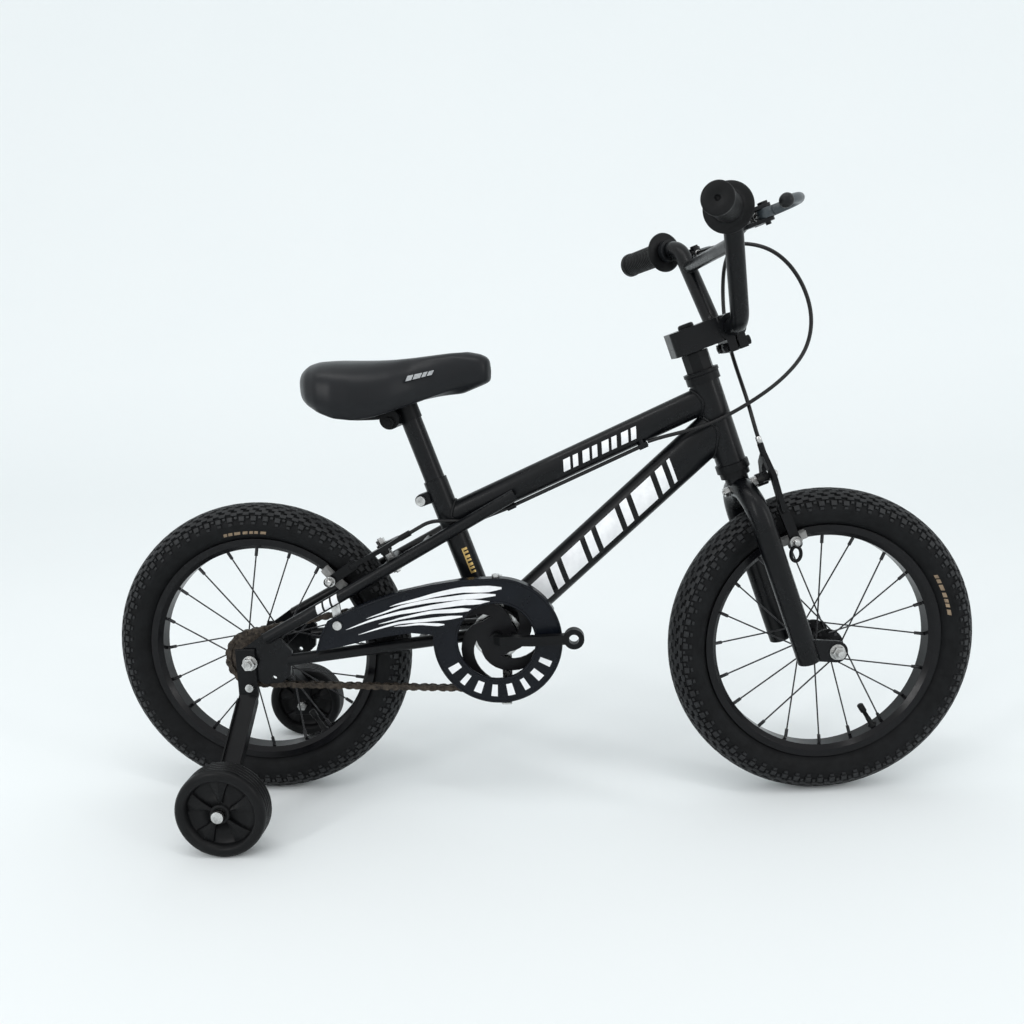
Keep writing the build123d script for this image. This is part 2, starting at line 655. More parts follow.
# ---------------------------------------------------------------- chain
def chain_pins():
    """Where each pin stands: round the chainring, back below, round the sprocket and forward above."""
    line = degrees(atan2(BRACKET_RISE, BRACKET_AHEAD))
    tilt = degrees(CHAIN_TILT)
    ring_wrap = RING_TEETH * (180 + 2 * tilt) / 360
    sprocket_wrap = SPROCKET_TEETH * (180 - 2 * tilt) / 360
    run = (CHAIN_PITCHES - ring_wrap - sprocket_wrap) / 2
    front, rear = BRACKET, at(0, 0, 0)
    pins = []
    for index in range(CHAIN_PITCHES):
        if index <= ring_wrap:
            pins.append(front + polar(RING_RADIUS, line + 90 + tilt - index * 360 / RING_TEETH))
        elif index <= ring_wrap + run:
            start = front + polar(RING_RADIUS, line - 90 - tilt)
            end = rear + polar(SPROCKET_RADIUS, line - 90 - tilt)
            pins.append(start + (end - start) * ((index - ring_wrap) / run))
        elif index <= ring_wrap + run + sprocket_wrap:
            turned = (index - ring_wrap - run) * 360 / SPROCKET_TEETH
            pins.append(rear + polar(SPROCKET_RADIUS, line - 90 - tilt - turned))
        else:
            start = rear + polar(SPROCKET_RADIUS, line + 90 + tilt)
            end = front + polar(RING_RADIUS, line + 90 + tilt)
            pins.append(start + (end - start) * ((index - ring_wrap - run - sprocket_wrap) / run))
    first_on_sprocket = ceil(ring_wrap + run)
    turned = (first_on_sprocket - ring_wrap - run) * 360 / SPROCKET_TEETH
    return pins, line + 90 + tilt, line - 90 - tilt - turned


CHAIN_PINS, RING_PHASE, SPROCKET_PHASE = chain_pins()
PIN_HOLE_RADIUS = PIN_RADIUS + 0.15
PLATE_GAP = 0.05


def link_plates(inner_face, holes):
    """A pair of link plates round the chain's middle, with the given pin holes."""
    plate = Pos(CHAIN_PITCH / 2, 0) * SlotCenterToCenter(CHAIN_PITCH, LINK_HEIGHT)
    waist = Pos(CHAIN_PITCH / 2, 0)
    for side in (-1, 1):
        plate -= waist * Pos(0, side * (LINK_HEIGHT / 2 + 3.4)) * Circle(4.6)
    for x in holes:
        plate -= Pos(x, 0) * Circle(PIN_HOLE_RADIUS)
    right = side_plate(plate, -inner_face - LINK_PLATE, -inner_face)
    left = side_plate(plate, inner_face, inner_face + LINK_PLATE)
    return right + left


def outer_link():
    """Two outer plates and their two pins."""
    link = link_plates(ROLLER_WIDTH / 2 + LINK_PLATE + PLATE_GAP, [])
    for x in (0, CHAIN_PITCH):
        link += disc(x, 0, PIN_RADIUS, -PIN_LENGTH / 2, PIN_LENGTH / 2)
    return link


def inner_link():
    """Two inner plates and their two rollers."""
    link = link_plates(ROLLER_WIDTH / 2, [0, CHAIN_PITCH])
    for x in (0, CHAIN_PITCH):
        link += ring(x, 0, ROLLER_RADIUS, PIN_HOLE_RADIUS, -ROLLER_WIDTH / 2, ROLLER_WIDTH / 2)
    return link


def offset_link():
    """The cranked link that joins the ends, because the number of pitches is odd."""
    middle = Pos(CHAIN_PITCH / 2, 0, 0)
    wide = link_plates(ROLLER_WIDTH / 2 + LINK_PLATE + PLATE_GAP, [])
    narrow = link_plates(ROLLER_WIDTH / 2, [CHAIN_PITCH])
    wide_half = wide & (middle * Pos(-CHAIN_PITCH, 0, 0) * Box(2 * CHAIN_PITCH + 1.2, 20, 20))
    narrow_half = narrow & (middle * Pos(CHAIN_PITCH, 0, 0) * Box(2 * CHAIN_PITCH + 1.2, 20, 20))
    reach = 2 * LINK_PLATE + PLATE_GAP
    link = wide_half + narrow_half
    for side in (-1, 1):
        web = Box(1.2, reach, LINK_HEIGHT - 2.6)
        link += middle * Pos(0, side * (ROLLER_WIDTH / 2 + reach / 2), 0) * web
    link += disc(0, 0, PIN_RADIUS, -PIN_LENGTH / 2, PIN_LENGTH / 2)
    link += ring(CHAIN_PITCH, 0, ROLLER_RADIUS, PIN_HOLE_RADIUS, -ROLLER_WIDTH / 2, ROLLER_WIDTH / 2)
    return link


def chain():
    """Every link, laid from pin to pin."""
    outer, inner, offset = outer_link(), inner_link(), offset_link()
    links = []
    for index, pin in enumerate(CHAIN_PINS):
        following = CHAIN_PINS[(index + 1) % CHAIN_PITCHES]
        link = outer if index % 2 == 0 else inner
        if index == CHAIN_PITCHES - 1 and CHAIN_PITCHES % 2 == 1:
            link = offset
        tilt = degrees(atan2(following.Z - pin.Z, following.X - pin.X))
        links.append(Pos(pin.X, -CHAIN_LINE, pin.Z) * Rot(0, -tilt, 0) * link)
    return links


# ---------------------------------------------------------------- crank and chainring
DRIVE_PEG_RADIUS = 4.0
DRIVE_PEG_REACH = 22.0
CRANK_ROOT = 50.0
CONE_FACE = 0.5


def crank():
    """One-piece crank: axle, two cranked arms with drilled pedal bosses, drive peg and cone."""
    axle = disc(0, 0, CRANK_AXLE_RADIUS, -CRANK_ROOT - 8, CRANK_ROOT + 8)
    pieces = axle
    for side in (-1, 1):
        way = -side
        plan = [
            (way * 0, side * (CRANK_ROOT + 3)),
            (way * 9, side * (PEDAL_LINE - 17)),
            (way * 50, side * (PEDAL_LINE - 5)),
            (way * (CRANK_LENGTH - 6), side * PEDAL_LINE),
        ]
        pieces += level_plate(thick_path(plan, CRANK_ARM - 1), -CRANK_ARM / 2, CRANK_ARM / 2)
        half = PEDAL_BOSS_WIDTH / 2
        low, high = side * PEDAL_LINE - half, side * PEDAL_LINE + half
        pieces += disc(way * CRANK_LENGTH, 0, PEDAL_BOSS_RADIUS, low, high)
        pieces -= disc(way * CRANK_LENGTH, 0, PEDAL_HOLE_RADIUS, low - 1, high + 1)
    ring_far = CHAIN_LINE + TOOTH_PLATE / 2
    pieces += disc(DRIVE_PEG_REACH, 0, DRIVE_PEG_RADIUS, -PEDAL_LINE + 14, -ring_far + TOOTH_PLATE)
    cone_end = SHELL_WIDTH / 2 + CUP_FLANGE + CONE_FACE
    ring_near = CHAIN_LINE - TOOTH_PLATE / 2
    cones = [ring(0, 0, 15, CRANK_AXLE_RADIUS, -ring_near, -cone_end)]
    cones += [ring(0, 0, 15, CRANK_AXLE_RADIUS, cone_end, cone_end + 5)]
    place = Pos(BRACKET.X, 0, BRACKET.Z) * Rot(0, -CRANK_REST, 0)
    return [place * piece for piece in [pieces] + cones]


RING_HUB_RADIUS = 27.0
RING_BAND_INNER = 58.0
RING_ARMS = 4
ARM_TWIST = 70.0
ARM_SPAN = 38.0


def window_point(index, share, across):
    """A point of a swirl window: share of the way outwards, and across from its leading edge."""
    radius = RING_HUB_RADIUS + (RING_BAND_INNER - RING_HUB_RADIUS) * share
    width = (360 / RING_ARMS - ARM_SPAN) * (0.55 + 0.45 * share)
    turn = radians(index * 360 / RING_ARMS + ARM_TWIST * share + across * width)
    return radius * cos(turn), radius * sin(turn)


def swirl_window(index):
    """One crescent opening between two swept arms of the chainring."""
    steps = [step / 8 for step in range(8)]
    points = [window_point(index, share, 0) for share in steps]
    points += [window_point(index, 1, share) for share in steps]
    points += [window_point(index, 1 - share, 1) for share in steps]
    points += [window_point(index, 0, 1 - share) for share in steps]
    return make_face(Polyline(*points, close=True))


def chainring():
    """Toothed plate with swept arms, bored for the crank's axle and its peg."""
    outline = toothed_plate(RING_TEETH, RING_RADIUS, 0)
    for index in range(RING_ARMS):
        outline -= swirl_window(index)
    outline = Rot(0, 0, RING_PHASE) * outline
    peg = polar(DRIVE_PEG_REACH, CRANK_REST)
    outline -= Circle(CRANK_AXLE_RADIUS)
    outline -= Pos(peg.X, peg.Z) * Circle(DRIVE_PEG_RADIUS)
    half = TOOTH_PLATE / 2
    return Pos(BRACKET.X, 0, BRACKET.Z) * side_plate(outline, -CHAIN_LINE - half, -CHAIN_LINE + half)


def rear_sprocket():
    """Freewheel's outer ring with its teeth, turning on the core."""
    half = TOOTH_PLATE / 2
    outline = toothed_plate(SPROCKET_TEETH, SPROCKET_RADIUS, SPROCKET_PHASE)
    teeth = side_plate(outline, -CHAIN_LINE - half, -CHAIN_LINE + half)
    body = disc(0, 0, CORE_RADIUS + 8, -REAR_RIGHT_END, -REAR_RIGHT_END + 10)
    bore = disc(0, 0, CORE_RADIUS + RUNNING, -REAR_RIGHT_END - 2, -CORE_NEAR)
    return Pos(*at(0, 0, 0)) * (teeth + body - bore)


def front_hub():
    """Front hub shell, the same on both sides."""
    return hub(FRONT_FLANGE, FRONT_FLANGE, FRONT_BARREL, FRONT_HUB_END, FRONT_HUB_END)


def rear_hub():
    """Rear hub shell with the freewheel's core on its right end."""
    shell = hub(REAR_LEFT_FLANGE, REAR_RIGHT_FLANGE, REAR_BARREL, REAR_LEFT_END, REAR_RIGHT_END)
    return shell + ring(0, 0, CORE_RADIUS, AXLE_RADIUS + RUNNING, -REAR_RIGHT_END, -CORE_NEAR)


REAR_AXLE_END = 76.0
FRONT_AXLE_END = 71.0
FORK_PLATE = 5.0
FORK_PLATE_NEAR = 51.5
FRONT_SPACER_NEAR = 45.0


def rear_axle():
    """Threaded axle with the cones and locknuts that space the hub in the frame."""
    axle = disc(0, 0, AXLE_RADIUS, -REAR_AXLE_END, REAR_AXLE_END)
    right = cone_set(-1, REAR_RIGHT_END + SIDE_PLAY, DROPOUT_GAP / 2)
    left = cone_set(1, REAR_LEFT_END + SIDE_PLAY, DROPOUT_GAP / 2)
    return [axle] + right + left


def front_axle():
    """Axle with cones, locknuts and a spacer out to each fork plate."""
    pieces = [disc(0, 0, AXLE_RADIUS, -FRONT_AXLE_END, FRONT_AXLE_END)]
    for side in (-1, 1):
        pieces += cone_set(side, FRONT_HUB_END + SIDE_PLAY, FRONT_SPACER_NEAR)
        low, high = sorted((side * FRONT_SPACER_NEAR, side * FORK_PLATE_NEAR))
        pieces.append(ring(0, 0, 7, AXLE_RADIUS, low, high))
    return pieces


# ---------------------------------------------------------------- steering, drawn in the steering frame
ARCH_RUN = 2.0
CROWN_SEAT_RADIUS = 15.0
CROWN_SEAT = 17.0
CROWN_SEAT_HEIGHT = 9.0
RACE_HEIGHT = 7.5
STEERER_TOP = RACE_TOP + 23.0
FORK_PLATE_RADIUS = 14.0


def fork_arch(radius, inner=0.0):
    """The bent tube over the wheel."""
    foot = CROWN - CROWN_BEND - ARCH_RUN
    points = [(0, -FORK_HALF, foot), (0, -FORK_HALF, CROWN), (0, FORK_HALF, CROWN), (0, FORK_HALF, foot)]
    return bent_bar(points, CROWN_BEND, radius, inner)


def fork():
    """Two legs, the arch, an axle plate each side, and the steerer with its crown seat."""
    foot, top = -AXLE_DROP, CROWN - CROWN_BEND - ARCH_RUN
    arch_core = fork_arch(FORK_RADIUS)
    bolt = rod((-FORK_RADIUS - 1, 0, CROWN), (FORK_RADIUS + 1, 0, CROWN), CALIPER_BOLT_RADIUS)
    pieces = [fork_arch(FORK_RADIUS, FORK_RADIUS - FORK_WALL) - bolt]
    for side in (-1, 1):
        core = rod((0, side * FORK_HALF, foot), (0, side * FORK_HALF, top), FORK_RADIUS)
        hollow_foot = foot + 2 * FORK_WALL
        bore = rod((0, side * FORK_HALF, hollow_foot), (0, side * FORK_HALF, top), FORK_RADIUS - FORK_WALL)
        pieces.append(core - bore)
        outline = thick_path([(2, foot + 16), (FORK_OFFSET, foot)], 2 * FORK_PLATE_RADIUS)
        outline -= Pos(FORK_OFFSET, foot) * Circle(AXLE_RADIUS)
        low, high = sorted((side * FORK_PLATE_NEAR, side * (FORK_PLATE_NEAR + FORK_PLATE)))
        pieces.append(side_plate(outline, low, high) - core)
    steerer = pipe((0, 0, CROWN), (0, 0, STEERER_TOP), STEERER_RADIUS, STEERER_BORE)
    seat_foot = (0, 0, CROWN + CROWN_SEAT - CROWN_SEAT_HEIGHT)
    seat = pipe(seat_foot, (0, 0, CROWN + CROWN_SEAT), CROWN_SEAT_RADIUS, STEERER_BORE)
    pieces.append(steerer + seat - arch_core)
    return pieces


def headset_races():
    """Crown race, upper race and locknut, all turning with the fork."""
    crown_foot = CROWN + CROWN_SEAT
    crown = pipe((0, 0, crown_foot), (0, 0, crown_foot + RACE_HEIGHT), RACE_RADIUS, STEERER_RADIUS)
    upper_foot = HEAD_TOP + CUP_HEIGHT + SIDE_PLAY
    upper = pipe((0, 0, upper_foot), (0, 0, RACE_TOP), CUP_RADIUS + 1, STEERER_RADIUS)
    nut = extrude(Pos(0, 0, RACE_TOP) * RegularPolygon(LOCKNUT_RADIUS, 8), LOCKNUT_LENGTH)
    return [crown, upper, nut - rod((0, 0, RACE_TOP), (0, 0, RACE_TOP + LOCKNUT_LENGTH), STEERER_RADIUS)]


STEM_BARREL_RADIUS = 17.5
STEM_EAR_DROP = 30.0
STEM_EAR_HALF = 12.0
STEM_SLOT = 2.6
STEM_BOLT_HALF = 12.0
STEM_BOLT_DROP = 23.0
STEM_BOLT_RADIUS = 3.0
QUILL_FOOT = 86.5
QUILL_CAP_RADIUS = 10.0


def stem():
    """Quill, slab and split barrel round the bar, with two ears for the clamp bolts."""
    half = STEM_WIDTH / 2
    slab = Pos((STEM_REACH - 10 - STEM_TAIL) / 2, 0, STEM_FOOT + STEM_HEIGHT / 2) * Box(
        STEM_REACH - 10 + STEM_TAIL, STEM_WIDTH, STEM_HEIGHT
    )
    slab = fillet(slab.edges().filter_by(Axis.Z), 8)
    body = slab + rod((0, 0, STEM_FOOT - QUILL_FOOT), (0, 0, STEM_FOOT + 2), STEERER_BORE - RUNNING)
    body += disc(STEM_REACH, BAR_LINE, STEM_BARREL_RADIUS, -half, half)
    ears = Box(2 * STEM_EAR_HALF, STEM_WIDTH, STEM_EAR_DROP)
    body += Pos(STEM_REACH, 0, BAR_LINE - STEM_EAR_DROP / 2) * ears
    body -= disc(STEM_REACH, BAR_LINE, BAR_RADIUS, -half, half)
    body -= Pos(STEM_REACH, 0, BAR_LINE - STEM_EAR_DROP / 2) * Box(STEM_SLOT, STEM_WIDTH, STEM_EAR_DROP)
    for side in (-1, 1):
        y, s = side * STEM_BOLT_HALF, BAR_LINE - STEM_BOLT_DROP
        body -= rod((STEM_REACH - 20, y, s), (STEM_REACH + 20, y, s), STEM_BOLT_RADIUS)
    return [body]


def stem_bolts():
    """Two clamp bolts with nuts, and the domed head of the quill's wedge bolt."""
    pieces = []
    near, far = STEM_REACH - STEM_EAR_HALF, STEM_REACH + STEM_EAR_HALF
    for side in (-1, 1):
        y, s = side * STEM_BOLT_HALF, BAR_LINE - STEM_BOLT_DROP
        bolt = rod((near - 6, y, s), (far + 5, y, s), STEM_BOLT_RADIUS)
        bolt += rod((far, y, s), (far + 6, y, s), 2 * STEM_BOLT_RADIUS)
        nut = front_plate(Pos(y, s) * RegularPolygon(5.5, 6, major_radius=False), near - 5, near)
        nut -= rod((near - 6, y, s), (near, y, s), STEM_BOLT_RADIUS)
        pieces += [bolt, nut]
    top = STEM_FOOT + STEM_HEIGHT
    dome = rod((0, 0, top), (0, 0, top + 5.5), QUILL_CAP_RADIUS)
    pieces.append(fillet(dome.edges().group_by(Axis.Z)[-1], 3))
    return pieces


def bar_points():
    """Corners of the handlebar, from the right end to the left."""
    top = BAR_LINE + BAR_RISE
    shoulder = STEM_REACH + BAR_FORWARD
    right = [
        (shoulder - BAR_SWEEP, -BAR_END_HALF, top + BAR_UPSWEEP),
        (shoulder, -BAR_SHOULDER_HALF, top),
        (STEM_REACH, -BAR_FOOT_HALF, BAR_LINE),
    ]
    return right + [(x, -y, z) for x, y, z in right[::-1]]


def bar_run(distance, side):
    """A point on the bar's outer run, measured inwards from its end, and the direction inwards."""
    end, shoulder = Vector(*bar_points()[0]), Vector(*bar_points()[1])
    way = (shoulder - end).normalized()
    point = end + way * distance
    return Vector(point.X, -side * point.Y, point.Z), Vector(way.X, -side * way.Y, way.Z)


def handlebar():
    """The bent bar and the crossbar welded between its uprights."""
    points = bar_points()
    bar = bent_bar(points, BAR_BEND, BAR_RADIUS, BAR_RADIUS - BAR_WALL)
    share = CROSSBAR_HEIGHT / BAR_RISE
    half = BAR_FOOT_HALF + share * (BAR_SHOULDER_HALF - BAR_FOOT_HALF)
    ahead = STEM_REACH + share * BAR_FORWARD
    height = BAR_LINE + CROSSBAR_HEIGHT
    crossbar = rod((ahead, -half, height), (ahead, half, height), CROSSBAR_RADIUS)
    return [bar, crossbar - bent_bar(points, BAR_BEND, BAR_RADIUS)]


GRIP_END_LIP = 7.0


def grip(side):
    """Rubber grip with a round guard at its inner end and a closed outer end."""
    end, way = bar_run(0, side)
    inner, _ = bar_run(GRIP_LENGTH, side)
    body = rod(end - way * GRIP_CAP, inner, GRIP_RADIUS)
    body += rod(end - way * GRIP_CAP, end + way * GRIP_END_LIP, GRIP_END_RADIUS)
    body += rod(inner - way * GRIP_FLANGE, inner, GRIP_FLANGE_RADIUS)
    body -= rod(end, inner, BAR_RADIUS)
    return [body - rod(end - way * GRIP_CAP, end, 3)]


CLAMP_DISTANCE = 96.0
CLAMP_WIDTH = 9.0
CLAMP_RADIUS = 15.0
LEVER_PIVOT = (84.0, 146.0)
LEVER_LEVEL = 526.0
LEVER_HEAD_RADIUS = 9.0
LEVER_PIN_RADIUS = 3.0
LEVER_PIN_HEAD = 5.5
BRACKET_NECK_RADIUS = 9.0
BRACKET_PLATE = 4.0
BRACKET_WIDTH = 15.0
OUTLET = (80.0, 136.0, 526.0)
OUTLET_RADIUS = 6.0
OUTLET_LENGTH = 14.0
LEVER_PATH = [(84, 146), (108, 160), (106, 180), (90, 214)]
LEVER_TIP = (88.0, 216.0)
LEVER_TIP_RADIUS = 7.0


def lever_bracket(side):
    """Clamp round the bar, neck, two plates that carry the lever's pin, cable outlet and the pin."""
    middle, way = bar_run(CLAMP_DISTANCE, side)
    half = way * (CLAMP_WIDTH / 2)
    body = rod(middle - half, middle + half, CLAMP_RADIUS)
    body += rod(middle, (66, side * 147, LEVER_LEVEL + 1), BRACKET_NECK_RADIUS)
    pivot = (LEVER_PIVOT[0], side * LEVER_PIVOT[1])
    outline = thick_path([(63, side * 147), pivot], BRACKET_WIDTH)
    outline += thick_path([pivot, (OUTLET[0], side * (OUTLET[1] - 6))], 11)
    near = LEVER_THICKNESS / 2 + SIDE_PLAY
    for low in (LEVER_LEVEL - near - BRACKET_PLATE, LEVER_LEVEL + near):
        body += level_plate(outline, low, low + BRACKET_PLATE)
    start = (OUTLET[0], side * OUTLET[1], OUTLET[2])
    end = (OUTLET[0], side * (OUTLET[1] - OUTLET_LENGTH), OUTLET[2])
    body += rod(start, end, OUTLET_RADIUS)
    body -= rod(start, end, CABLE_RADIUS)
    body -= bent_bar(bar_points(), BAR_BEND, BAR_RADIUS)
    low, high = LEVER_LEVEL - near - BRACKET_PLATE, LEVER_LEVEL + near + BRACKET_PLATE
    body -= rod((*pivot, low), (*pivot, high), LEVER_PIN_RADIUS)
    pin = rod((*pivot, low - 3), (*pivot, high), LEVER_PIN_RADIUS)
    pin += rod((*pivot, high), (*pivot, high + 3), LEVER_PIN_HEAD)
    return [body, pin]


def brake_lever(side):
    """Curved blade with a round head on the pin and a ball at its tip."""
    low, high = LEVER_LEVEL - LEVER_THICKNESS / 2, LEVER_LEVEL + LEVER_THICKNESS / 2
    pivot = (LEVER_PIVOT[0], side * LEVER_PIVOT[1])
    outline = thick_path([(x, side * y) for x, y in LEVER_PATH], LEVER_THICKNESS)
    outline += Pos(*pivot) * Circle(LEVER_HEAD_RADIUS)
    outline -= Pos(*pivot) * Circle(LEVER_PIN_RADIUS + RUNNING)
    tip = Pos(LEVER_TIP[0], side * LEVER_TIP[1], LEVER_LEVEL) * Sphere(LEVER_TIP_RADIUS)
    return [level_plate(outline, low, high) + tip]


# ---------------------------------------------------------------- brakes, drawn round their bolt
# X leads away from the wheel's frame tube, Z away from the pads, and the cable stands at negative Y.
FRONT_STANDOFF = 24.0
REAR_STANDOFF = 16.0
FRONT_PAD_AHEAD = FORK_OFFSET
PAD_RIM_RADIUS = RIM_EDGE_RADIUS - 7
FRONT_REACH = CROWN + AXLE_DROP - PAD_RIM_RADIUS
REAR_PAD_AHEAD = REAR_STANDOFF + CALIPER_ARM + CALIPER_PLAY / 2
REAR_REACH = BRIDGE_ALONG - (PAD_RIM_RADIUS**2 - (STAY_ABOVE_AXLE + REAR_PAD_AHEAD) ** 2) ** 0.5
REAR_PAD_TURN = degrees(atan2(STAY_ABOVE_AXLE + REAR_PAD_AHEAD, BRIDGE_ALONG - REAR_REACH))
ARM_STRIP = 11.0
ARM_BOSS_RADIUS = 8.5
ARM_PLATE_NEAR = 34.0
ARM_PLATE = 6.0
ARM_ELBOW_DROP = 36.0
NEAR_ARM_PATH = [(0, 0), (-14, 22), (-33, 34), (-44, 8), (-38, -38)]
FAR_ARM_PATH = [(37, -38), (36, -12), (0, 0), (-33, 8)]
ANCHOR_RADIUS = 3.6
ANCHOR_HOLE = 1.4
PAD_INNER = RIM_WIDTH / 2 + PAD_GAP
PAD_RUBBER = 9.0
FRONT_CALIPER = STEERED * Pos(0, 0, CROWN)
REAR_CALIPER = Plane(origin=on_stay(BRIDGE_ALONG, 0), x_dir=STAY_NORMAL, z_dir=STAY_DIRECTION).location


def cable_layer(standoff):
    """Distance of the cable's line from the bolt's foot."""
    return standoff + 1.5 * CALIPER_ARM + CALIPER_PLAY


def caliper_arm(near, standoff, reach, pad_ahead):
    """One arm: the flat curved part on the bolt and the upright plate that takes the pad."""
    path = NEAR_ARM_PATH if near else FAR_ARM_PATH
    start = standoff + (CALIPER_ARM + CALIPER_PLAY if near else 0)
    outline = thick_path(path, ARM_STRIP) + Circle(ARM_BOSS_RADIUS)
    outline -= Circle(CALIPER_BOLT_RADIUS + RUNNING)
    arm = front_plate(outline, start, start + CALIPER_ARM)
    side = -1 if near else 1
    centre = start + CALIPER_ARM / 2
    plate = thick_path([(centre, -ARM_ELBOW_DROP), (pad_ahead, -reach - 4)], 12.5)
    plate += thick_path([(pad_ahead, -reach + 2), (pad_ahead, -reach - 4)], 13)
    slot = Pos(pad_ahead, -reach) * Rot(0, 0, 90) * SlotCenterToCenter(7, 2 * PAD_BOLT_RADIUS + 0.4)
    low, high = sorted((side * ARM_PLATE_NEAR, side * (ARM_PLATE_NEAR + ARM_PLATE)))
    arm += side_plate(plate - slot, low, high)
    layer = cable_layer(standoff)
    if near:
        foot, top = (layer, -CABLE_SIDE, ADJUSTER_RISE), (layer, -CABLE_SIDE, ADJUSTER_RISE + ADJUSTER_LENGTH)
        bottom = (layer, -CABLE_SIDE, ADJUSTER_RISE - 1.5 * ARM_STRIP)
        arm += rod(foot, top, ADJUSTER_RADIUS)
        arm -= rod(bottom, top, ADJUSTER_BORE)
    else:
        anchor = rod((start, -CABLE_SIDE, ANCHOR_RISE), (layer + 4, -CABLE_SIDE, ANCHOR_RISE), ANCHOR_RADIUS)
        hole_low = (layer, -CABLE_SIDE, ANCHOR_RISE - 9)
        arm = arm + anchor - rod(hole_low, (layer, -CABLE_SIDE, ANCHOR_RISE + 9), ANCHOR_HOLE)
    return [arm]


def brake_pad(near, reach, pad_ahead, turn):
    """Rubber block, its holder with a bolt, and the nuts that hold it in the arm."""
    side = -1 if near else 1
    long, thick, tall = PAD_SIZE
    place = Pos(pad_ahead, 0, -reach) * Rot(0, turn, 0)
    block = place * Pos(0, side * (PAD_INNER + PAD_RUBBER / 2), 0) * Box(long, PAD_RUBBER, tall)
    holder = place * Pos(0, side * (PAD_INNER + PAD_RUBBER + (thick - PAD_RUBBER) / 2), 0) * Box(
        long - 4, thick - PAD_RUBBER, tall - 1
    )
    back = PAD_INNER + thick
    outer = ARM_PLATE_NEAR + ARM_PLATE
    low, high = sorted((side * back, side * (outer + 7)))
    holder += disc(pad_ahead, -reach, PAD_BOLT_RADIUS, low, high)
    pieces = [block, holder]
    for near_face, far_face in ((back, ARM_PLATE_NEAR), (outer, outer + 6)):
        low, high = sorted((side * near_face, side * far_face))
        nut = hexagon(pad_ahead, -reach, 10, low, high)
        pieces.append(nut - disc(pad_ahead, -reach, PAD_BOLT_RADIUS, low, high))
    return pieces


def pivot_bolt(tube, standoff):
    """The bolt both arms turn on, with a spacer and a nut each side."""
    tip = standoff + 2 * CALIPER_ARM + 2 * CALIPER_PLAY
    bolt = rod((-tube - 9, 0, 0), (tip + 8, 0, 0), CALIPER_BOLT_RADIUS)
    core = disc(0, 0, tube, -30, 30)
    spacer = rod((0, 0, 0), (standoff - CALIPER_PLAY, 0, 0), 7) - bolt - core
    pieces = [bolt, spacer]
    for low, high in ((tip, tip + 6), (-tube - 7, -tube)):
        nut = front_plate(RegularPolygon(5.5, 6, major_radius=False), low, high)
        pieces.append(nut - bolt)
    return pieces


def front_brake(pieces):
    """Pieces drawn round the bolt, put on the fork."""
    return [FRONT_CALIPER * piece for piece in pieces]


def rear_brake(pieces):
    """Pieces drawn round the bolt, put on the rear bridge with the cable kept on the right."""
    return [REAR_CALIPER * mirror(piece, about=Plane.XZ) for piece in pieces]


# ---------------------------------------------------------------- cables
CABLE_CLEAR = 0.4
CABLE_BELOW_TUBE = 20.0
CABLE_OFF_CENTRE = -9.0
CLIPS_AHEAD = (523.0, 350.0)
CLIP_LENGTH = 12.0
CLIP_RADIUS = 4.2
FRONT_CABLE_RUN = [(84, 62, 512), (54, 58, 375)]
LOOP_RUN = [(118, 30, 528), (168, -6, 458), (158, -14, 350), (60, -28, 332)]
LOOP_BESIDE_HEAD = (617, -26, 298)
LOOP_AFTER_HEAD = (545, -14, 279)
REAR_CABLE_RUN = [(300, -16, 175), (245, -30, 180)]


def top_tube_way():
    """Direction of the top tube, forward and up."""
    start, end = on_seat_tube(TOP_TUBE_ON_SEAT_TUBE), on_head(HEAD_TOP - TOP_TUBE_BELOW_HEAD_TOP)
    return (end - start).normalized()


def under_top_tube(ahead):
    """A point on the clipped cable's line below the top tube."""
    way = top_tube_way()
    start = on_seat_tube(TOP_TUBE_ON_SEAT_TUBE) + Vector(way.Z, 0, -way.X) * CABLE_BELOW_TUBE
    share = (at(ahead, 0, 0).X - start.X) / way.X
    point = start + way * share
    return Vector(point.X, CABLE_OFF_CENTRE, point.Z)


def caliper_wire(standoff):
    """Ends of the bare wire in a brake's own frame, from above the adjuster to the anchor."""
    layer = cable_layer(standoff)
    top = Vector(layer, -CABLE_SIDE, ADJUSTER_RISE + ADJUSTER_LENGTH + CABLE_CLEAR)
    return top, Vector(layer, -CABLE_SIDE, ANCHOR_RISE - 6)


def front_brake_cable():
    """Cable from the right lever round to the front brake, drawn in the steering frame."""
    top, bottom = caliper_wire(FRONT_STANDOFF)
    lift = Vector(0, 0, CROWN)
    start = Vector(OUTLET[0], -OUTLET[1] + 4, OUTLET[2])
    leave = Vector(OUTLET[0], -OUTLET[1] + OUTLET_LENGTH + 3, OUTLET[2])
    points = [start, leave] + [Vector(*point) for point in FRONT_CABLE_RUN]
    points += [top + lift + Vector(0, 0, 38), top + lift]
    sleeve = bent_bar(points[1:], CABLE_BEND, CABLE_RADIUS) + rod(start, leave, CABLE_RADIUS)
    return [sleeve + rod(top + lift, bottom + lift, WIRE_RADIUS)]


def loop_points():
    """Route of the rear cable from the left lever, round the head tube, to the first clip."""
    leave = (OUTLET[0], OUTLET[1] - OUTLET_LENGTH - 3, OUTLET[2])
    points = [(STEERED * Pos(*point)).position for point in [leave] + LOOP_RUN]
    return points + [at(*LOOP_BESIDE_HEAD), at(*LOOP_AFTER_HEAD), under_top_tube(CLIPS_AHEAD[0] + 7)]


def rear_brake_cable_loop():
    """The part of the rear cable that follows the bars."""
    start = (STEERED * Pos(OUTLET[0], OUTLET[1] - 4, OUTLET[2])).position
    points = loop_points()
    return [bent_bar(points, CABLE_BEND, CABLE_RADIUS) + rod(start, points[0], CABLE_RADIUS)]


